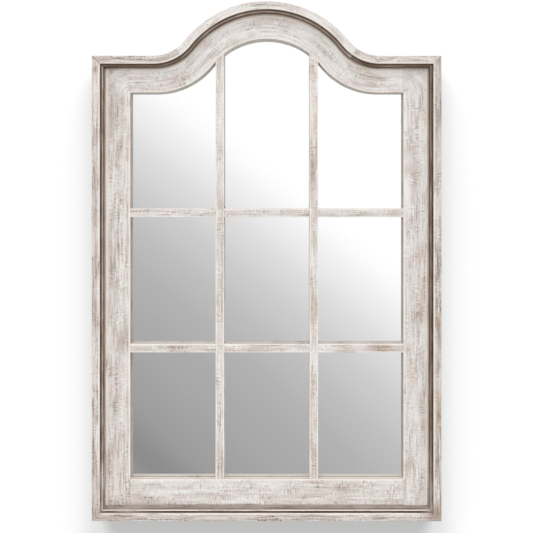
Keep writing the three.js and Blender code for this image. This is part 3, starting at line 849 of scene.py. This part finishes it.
# lips: wall shade, wall highlight, glass stain and shade, shade line under the arris, all painted; the head's lip
# faces down and gets a painted shade line and a painted highlight on its wall
stile_lip = (0.25, 0.2, 0.8, 0.3)
head_lip = (0.0, 1.0, 0.0, 0.75)
board_looks = {  # cover of the stile and of the shoulder rail, marks on the stile's outer arris
    "left": (0.0, 0.05, (0.0, 1.0)),
    "right": (0.03, 0.11, (0.15, 0.55)),
}
for seed, (hand, h) in enumerate(sides.items()):
    stile_cover, rail_cover, marks = board_looks[hand]
    breaks = (sight_foot_z, sight_shoulder_z)
    upright = Leg(side(h), foot_z + board_edge, shoulder_z - board_edge, breaks=breaks)
    shape = (stile_face, [upright], 21 + seed, (stile_cover, 0.35, *stile_lip), marks, 16)
    board_length("stile_" + hand, *shape, beyond_sight, stile_grain)
    level = Leg(head, h * (sight_x - half_gap), h * shoulder_centre_x)
    bend = Leg(shoulder(h), 0, at_joint(half_gap), shoulder_radius + band_width)
    shape = (head_face, [level, bend], 23 + seed, (rail_cover, 0.5, *head_lip))
    board_length("shoulder_rail_" + hand, *shape, grain=head_grain)
level = Leg(foot, half_gap - sight_x, sight_x - half_gap)
# the foot rail's lip faces up: a painted highlight on its wall, stain and painted shade at the glass
board_length("foot_rail", foot_face, [level], 25, (0.04, 0.9, 0.0, 1.0, 1.0, 0.35), (0.22, 0.0), 16)
over_crown = crown_legs(at_joint(-half_gap), band_width)
board_length("crown_rail", head_face, over_crown, 26, (0.09, 0.5, *head_lip))
print("board frame: two stiles and four rails")

# %% [markdown]
# ## Window bars
#
# The bars are 20 mm wide with small arrises and are halved into each other: the upright ones keep
# their front at a crossing and the level ones their back, so all four faces are flush. The tops of
# the upright bars are cut to the curve of the head.

# %% The bars' section
bar_arris = 1.0 * mm
bar_stain_and_shade = 0.9 * mm  # how high the stain and painted shade next to the glass come on a bar
bar_middle = (board_front + lip_back) / 2
halving_gap = 0.1 * mm
crossing = muntin_half + halving_gap
end_gap = 0.2 * mm


def bar_section(seed, crossings, in_front):
    """crossings are the places along the bar where another one passes."""

    def section(u, s):
        crossed = any(abs(s - at) < crossing for at in crossings)
        front = board_front
        back = lip_back
        if crossed and in_front:
            back = bar_middle + halving_gap
        if crossed and not in_front:
            front = bar_middle - halving_gap
        left = bar_arris * (0.95 + 0.4 * wander(u, seed, 0.03))
        right = bar_arris * (0.95 + 0.4 * wander(u, seed + 1, 0.03))
        low = max(back, lip_back + bar_stain_and_shade)
        columns = between(left - muntin_half, muntin_half - right, 6)
        return [
            # at the glass: stain and painted shade. The first wall, the top of a level bar and the left of an
            # upright one, gets a painted shade line under its arris and then a painted highlight; the other wall
            # gets less highlight
            point(-muntin_half, back, dirt=0.9),
            point(-muntin_half, low, rub=1.0),
            point(-muntin_half, front - left - rub_reach, dirt=0.3),
            *quarter(left - muntin_half, front - left, left, 180, 90, 3, rub=1.0),
            *(point(c, front - dip(u, c, seed, 0.1 * mm, 0.02, 0.006)) for c in columns),
            *quarter(muntin_half - right, front - right, right, 90, 0, 3, rub=0.8),
            point(muntin_half, front - right - under_arris, rub=0.5),
            point(muntin_half, low, rub=0.3),
            point(muntin_half, back, dirt=0.8),
        ]

    return section


def window_bar(name, place, ends, seed, crossings, in_front):
    breaks = [at + step for at in crossings for step in (-crossing, crossing)]
    leg = Leg(place, *ends, breaks=breaks)
    section = bar_section(seed, crossings, in_front)
    return build_bar("muntin_" + name, "limed_bar", [leg], section, 4 * mm, 0, seed, calm=0.35)


print("a bar's half is", round((board_front - bar_middle) / mm, 1), "mm thick at a crossing")


# %% Two upright and two level bars
def upright_at(x):
    return lambda s, c: (x + c, s)


def level_at(z):
    return lambda s, c: (s, z - c)


def under_crown(x):
    """Where the upright bar meets the head's sight edge."""
    radius = crown_radius - band_width - head_face
    return lambda c: crown_centre_z + sqrt(radius**2 - (x + c) ** 2) - end_gap


for seed, (hand, h) in enumerate(sides.items()):
    x = h * muntin_x
    ends = (sight_foot_z + end_gap, under_crown(x))
    window_bar("vertical_" + hand, upright_at(x), ends, 31 + seed, row_zs, True)
for seed, (level, z) in enumerate(zip(("lower", "upper"), row_zs)):
    ends = (end_gap - sight_x, sight_x - end_gap)
    window_bar("horizontal_" + level, level_at(z), ends, 33 + seed, (-muntin_x, muntin_x), False)
print("window bars: four")

# %% [markdown]
# ## Silvered glass
#
# The sheet is one flat mirror behind all nine panes. A mirror has hardly any colour of its own: what
# shows in it is the room. So the shader is nearly perfect metal, and the grey sweep from the lower
# left to the white upper right comes from the world, further down.

# %% Mirror, hardboard, beech, zinc and steel
web = new_material("silvered_glass")
haze = web.spots(web.here(), (0.3, 0.3, 0.3))
finishes["silvered_glass"] = web.finish(paint("#f5f5f5"), 0.008 + haze * 0.008, 1.0)

web = new_material("hardboard")
fibre = web.spots(web.here(), (0.004, 0.004, 0.004), detail=4.0, roughness=0.7)
cloud = web.spots(web.here(), (0.12, 0.12, 0.12))
colour = (fibre * 0.8 + cloud * 0.2).smooth(0.25, 0.75).mix(paint("#6b5340"), paint("#927658"))
finishes["hardboard"] = web.finish(colour, 0.8 + fibre * 0.1, height=fibre, relief=0.2 * mm)

web = new_material("beech")
fleck = web.spots(web.here(), (0.02, 0.001, 0.001), detail=3.0)
colour = fleck.mix(paint("#b08f62"), paint("#d8bb8e"))
finishes["beech"] = web.finish(colour, 0.6 + fleck * 0.1)

metals = (("zinc", "#9a9da1", "#c9ccd0", 0.25), ("steel", "#7c7c7a", "#a5a5a3", 0.35))
for name, dull, bright, rough in metals:
    web = new_material(name)
    bloom = web.spots(web.here(), (0.004, 0.004, 0.004), detail=4.0, roughness=0.65)
    colour = bloom.smooth(0.3, 0.7).mix(paint(dull), paint(bright))
    finishes[name] = web.finish(colour, rough + bloom * 0.2, 1.0, bloom, 0.02 * mm)

slots = {row["node"]: row["material_slot"] for row in frame["record"]["subparts"]}
for name, node in frame["nodes"].items():
    node.data.materials.clear()
    node.data.materials.append(finishes[slots[name]])
print("finishes on", len(slots), "nodes")

# %% The cut edges of the board and of the glass, a little worn
for name in ("backing_board", "mirror_sheet"):
    worn = frame["nodes"][name].modifiers.new("worn edge", "BEVEL")
    worn.width = 0.4 * mm
    worn.segments = 2
    worn.limit_method = "ANGLE"
    worn.angle_limit = radians(50)
print("worn edges: two")

# %% [markdown]
# ## The hangers
#
# On the back of each stile a strap holds a wire ring, which goes over a hook in the wall. The strap
# is one strip: flat where the screws hold it, rolled at the top into an eye, rounded at its lower
# end. The ring is round wire on a closed path, and rides on its own body, so that it can swing.

# %% The strap
strap_half = 7 * mm
strap_thickness = 1.2 * mm
strap_chamfer = 0.25 * mm
eye_roll = 260  # degrees that the strap goes round the eye
hinges = {joint["child"]: Vector(joint["pos_m"]) for joint in frame["joints"]}


def strap_stations(eye, low_z, middle):
    """Centre, outward direction and half width of the strip, from its round end into the eye."""
    back = Vector((0, 1, 0))
    for degrees in range(10, 91, 8):
        angle = radians(degrees)
        z = low_z + strap_half * (1 - cos(angle))
        yield Vector((eye.x, eye.y - middle, z)), back, strap_half * sin(angle)
    for z in between(low_z + strap_half, eye.z, 5) + [eye.z]:
        yield Vector((eye.x, eye.y - middle, z)), back, strap_half
    for degrees in range(10, eye_roll + 1, 10):
        angle = radians(180 - degrees)
        inward = -Vector((0, cos(angle), sin(angle)))
        yield eye - inward * middle, inward, strap_half


def strap(hand):
    node = "hanger_strap_" + hand
    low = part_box(node)[0]
    eye = hinges[hand + "_ring"]
    thick = strap_thickness / 2
    rows = []
    for centre, out, half in strap_stations(eye, low.z, (eye.y - low.y) - thick):
        cut = min(strap_chamfer, half / 2)
        flat = [(half, thick - cut), (half - cut, thick), (cut - half, thick), (-half, thick - cut)]
        flat += [(-x, -up) for x, up in flat]
        rows.append([centre + Vector((x, 0, 0)) + out * up for x, up in flat])
    mesh = bmesh.new()
    skin(mesh, rows)
    return dress(mesh, node, "zinc")


for hand in sides:
    strap(hand)
print("straps: two")

# %% The ring
wire_radius = 1.5 * mm
wire_sides = 14
ring_bend = 2.6 * mm


def wire_ring(hand):
    node = "hanger_ring_" + hand
    low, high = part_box(node)
    pivot = hinges[hand + "_ring"]
    half = (high.x - low.x) / 2 - wire_radius
    bow_z = low.z + wire_radius + half - pivot.z
    path = arc(half - ring_bend, -ring_bend, ring_bend, 90, 0, 8)
    path += arc(0, bow_z, half, 0, -180, 36)
    path += arc(ring_bend - half, -ring_bend, ring_bend, 180, 90, 8)
    turns = [2 * pi * k / wire_sides for k in range(wire_sides)]
    side_way = Vector((0, 1, 0))
    rows = []
    for i, (x, z) in enumerate(path):
        before, after = path[i - 1], path[(i + 1) % len(path)]
        along = Vector((after[0] - before[0], 0, after[1] - before[1])).normalized()
        out = Vector((along.z, 0, -along.x))
        centre = pivot + Vector((x, 0, z))
        rows.append([centre + (out * cos(t) + side_way * sin(t)) * wire_radius for t in turns])
    mesh = bmesh.new()
    skin(mesh, rows, ends="joined")
    return dress(mesh, node, "zinc", hand + "_ring")


for hand in sides:
    wire_ring(hand)
print("rings: two")

# %% [markdown]
# ## Screws
#
# Fifteen pan head screws hold the backing and the straps. To spare a cut, the cross recess is drawn
# first as twelve points, the dome is filled up to it, and a smaller cross becomes its floor.

# %% A pan head screw
screw_sides = 24
thread_pitch = 1.3 * mm
thread_height = 0.35 * mm
dome_shares = (0.72, 0.82, 0.90, 0.96, 0.99)  # rings of the dome outside the cross, as shares of the head
cross_arm, cross_half, cross_taper = 0.52, 0.12, 0.7
recess_floor = 0.2 * mm


def cross_outline(arm, half):
    """Twelve corners of a plus sign, anticlockwise."""
    corners = [(half, half), (half, arm), (-half, arm)]
    for _ in range(3):
        corners += [(-z, x) for x, z in corners[-3:]]
    return corners


def screw(node, shank, head_height):
    """The screw of that node, with its head towards +Y and its axis through the box's middle."""
    low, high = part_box(node)
    middle = (low + high) / 2
    head = (high.x - low.x) / 2
    under = high.y - head_height
    turns = [2 * pi * k / screw_sides for k in range(screw_sides)]

    def around(radii, y):
        return [(middle.x + r * cos(t), y, middle.z + r * sin(t)) for r, t in zip(radii, turns)]

    def circle(radius, y):
        return around([radius] * screw_sides, y)

    def dome(radius):
        return under + head_height * sqrt(max(0.0, 1 - (radius / head) ** 2))

    rows = [circle(head * share, dome(head * share)) for share in dome_shares]
    rows += [circle(head, under + 0.15 * mm), circle(head * 0.97, under)]
    steps = ceil((under - low.y) / (thread_pitch / 6))
    for step in range(steps):
        y = under - (under - low.y) * step / steps
        taper = min(1.0, (y - low.y) / (3 * shank))
        climbs = [(k / screw_sides + (under - y) / thread_pitch) % 1 for k in range(screw_sides)]
        radii = [taper * (shank - thread_height * abs(2 * climb - 1)) for climb in climbs]
        rows.append(around(radii, y))
    mesh = bmesh.new()
    rings = skin(mesh, rows, ends="open")
    tip = mesh.verts.new((middle.x, low.y, middle.z))
    for i in range(screw_sides):
        mesh.faces.new((rings[-1][i], rings[-1][(i + 1) % screw_sides], tip))

    cross = cross_outline(head * cross_arm, head * cross_half)
    top = [(middle.x + x, dome(hypot(x, z)), middle.z + z) for x, z in cross]
    cross = [(x * cross_taper, z * cross_taper) for x, z in cross]
    floor = [(middle.x + x, under + recess_floor, middle.z + z) for x, z in cross]
    edge, recess = ring_of(mesh, top), ring_of(mesh, floor)
    edges = [mesh.edges.new((edge[i - 1], edge[i])) for i in range(12)]
    edges += [mesh.edges.get((rings[0][i - 1], rings[0][i])) for i in range(screw_sides)]
    bmesh.ops.triangle_fill(mesh, edges=edges, use_beauty=True, normal=(0, 1, 0))
    for i in range(12):
        mesh.faces.new((edge[i - 1], edge[i], recess[i], recess[i - 1]))
    mesh.faces.new(recess)
    return dress(mesh, node, "zinc")


# %% Fifteen screws
screw_sizes = {"hanger": (1.8 * mm, 2.2 * mm), "backing": (1.5 * mm, 1.8 * mm)}  # shank radius, head height
screw_nodes = [name for name in frame["nodes"] if "screw" in name]
for name in screw_nodes:
    screw(name, *screw_sizes[name.split("_")[0]])
print("screws:", len(screw_nodes))

# %% [markdown]
# ## The wall, the floor and the light
#
# The wall is white, lies just behind the frame and keeps its soft shadow, which falls below it. Seen
# from behind, it lets the view through. The world gives even light that is stronger from above,
# white where the camera looks past the object, and the grey sweep that silver and zinc show.

# %% The stage
wall_gap = 1.0 * mm
stage_half = 4.0
floor_z = foot_z - 450 * mm


def card(name, corners, material):
    mesh = bmesh.new()
    mesh.faces.new(ring_of(mesh, corners))
    piece = make_piece(name, mesh, solid=False)
    piece.data.materials.append(material)
    for ray in ("diffuse", "glossy", "shadow", "transmission"):
        setattr(piece, "visible_" + ray, False)
    return piece


def stage_paint(name, shade, lift):
    """Matt paint that keeps a shadow, with a small lift so that its open part is full white."""
    web = new_material(name)
    matt = web.add("BsdfDiffuse", {"Color": (shade, shade, shade, 1)})
    glow = web.add("Emission", {"Color": (1, 1, 1, 1), "Strength": lift})
    surface = web.add("AddShader", {0: matt, 1: glow})
    behind = web.add("NewGeometry", output="Backfacing")
    clear = web.add("BsdfTransparent")
    surface = web.add("MixShader", {0: behind, 1: surface, 2: clear})
    web.add("OutputMaterial", {"Surface": surface})
    return web.owner


square = [(-stage_half, -stage_half), (stage_half, -stage_half)]
square += [(stage_half, stage_half), (-stage_half, stage_half)]
wall_corners = [(x, wall_gap, max(z, floor_z)) for x, z in square]
wall = card("wall", wall_corners, stage_paint("wall_paint", 0.15, 0.39))
floor_corners = [(x, y, floor_z) for x, y in square]
floor = card("floor", floor_corners, stage_paint("floor_paint", 0.15, 0.50))
print("wall and floor", stage_half * 2, "m wide")

# %% The world: even light, a white surround and the grey sweep in the mirror
sky_level = 0.54
sky_slope = 0.60
sweep_aside = 0.8  # how much the sweep turns from straight up towards the right
sweep_low, sweep_high = -0.70, 0.30  # what the mirror shows from the front
sweep_top = 1.12
sweep_stops = (  # share of the way from low to high, then level; past both ends it turns back
    (-0.6, 0.72), (0.04, 0.324), (0.12, 0.364), (0.20, 0.418), (0.28, 0.455), (0.36, 0.512), (0.44, 0.598),
    (0.52, 0.706), (0.60, 0.841), (0.68, 0.995), (0.75, 1.10), (1.0, 1.12),
    (1.12, 1.12), (1.45, 0.66),
)

world = bpy.data.worlds.new("studio")
bpy.context.scene.world = world
web = Web(world)
direction = web.add("TexCoord", output="Generated")
aside = web.add("SeparateXYZ", {0: direction})
up = web.add("SeparateXYZ", {0: direction}, output=2)
first, last = sweep_stops[0][0], sweep_stops[-1][0]
ends = [sweep_low + at * (sweep_high - sweep_low) for at in (first, last)]
turned = {"Value": aside * sweep_aside + up, "From Min": ends[0], "From Max": ends[1]}
share = web.add("MapRange", turned)
stops = [((at - first) / (last - first), (level / sweep_top,) * 3 + (1,)) for at, level in sweep_stops]
grey_sweep = web.add("ValToRGB", {"Fac": share}, stops=stops) * ((sweep_top,) * 3)
glossy = web.add("LightPath", output="Is Glossy Ray")
camera_ray = web.add("LightPath", output="Is Camera Ray")
seen = glossy.mix(up.smooth(0.0, 1.0) * sky_slope + sky_level, grey_sweep)
seen = camera_ray.mix(seen, (1, 1, 1, 1))
background = web.add("Background", {"Color": seen, "Strength": 1.0})
web.add("OutputWorld", {"Surface": background})
print("sky", sky_level, "to", round(sky_level + sky_slope, 2))


# %% Softboxes: one in front for the object, two above for the wall's shadow
def softbox(name, level, height, width, aside=0):
    """A wide, far lamp. level is the light it gives to a surface that faces the front."""
    data = bpy.data.lights.new(name, "SUN")
    data.energy = level * pi / cos(radians(height)) / cos(radians(aside))
    data.angle = radians(width)
    lamp = bpy.data.objects.new(name, data)
    lamp.rotation_euler = (radians(90 - height), 0, radians(aside))
    lamp.visible_glossy = False
    bpy.context.scene.collection.objects.link(lamp)
    return lamp


softbox("front_softbox", 0.345, 9, 34)
stage_pieces = bpy.data.collections.new("stage_pieces")
for piece in (wall, floor):
    stage_pieces.objects.link(piece)
for name, aside in (("wall_softbox_left", -46), ("wall_softbox_right", 46)):
    lamp = softbox(name, 1.6, 60, 36, aside)
    lamp.light_linking.receiver_collection = stage_pieces
bpy.context.scene.view_settings.view_transform = "Standard"
print("softboxes: three")

# %% [markdown]
# ## Close
#
# The dressed model must keep the measured size.

# %% Close
import json
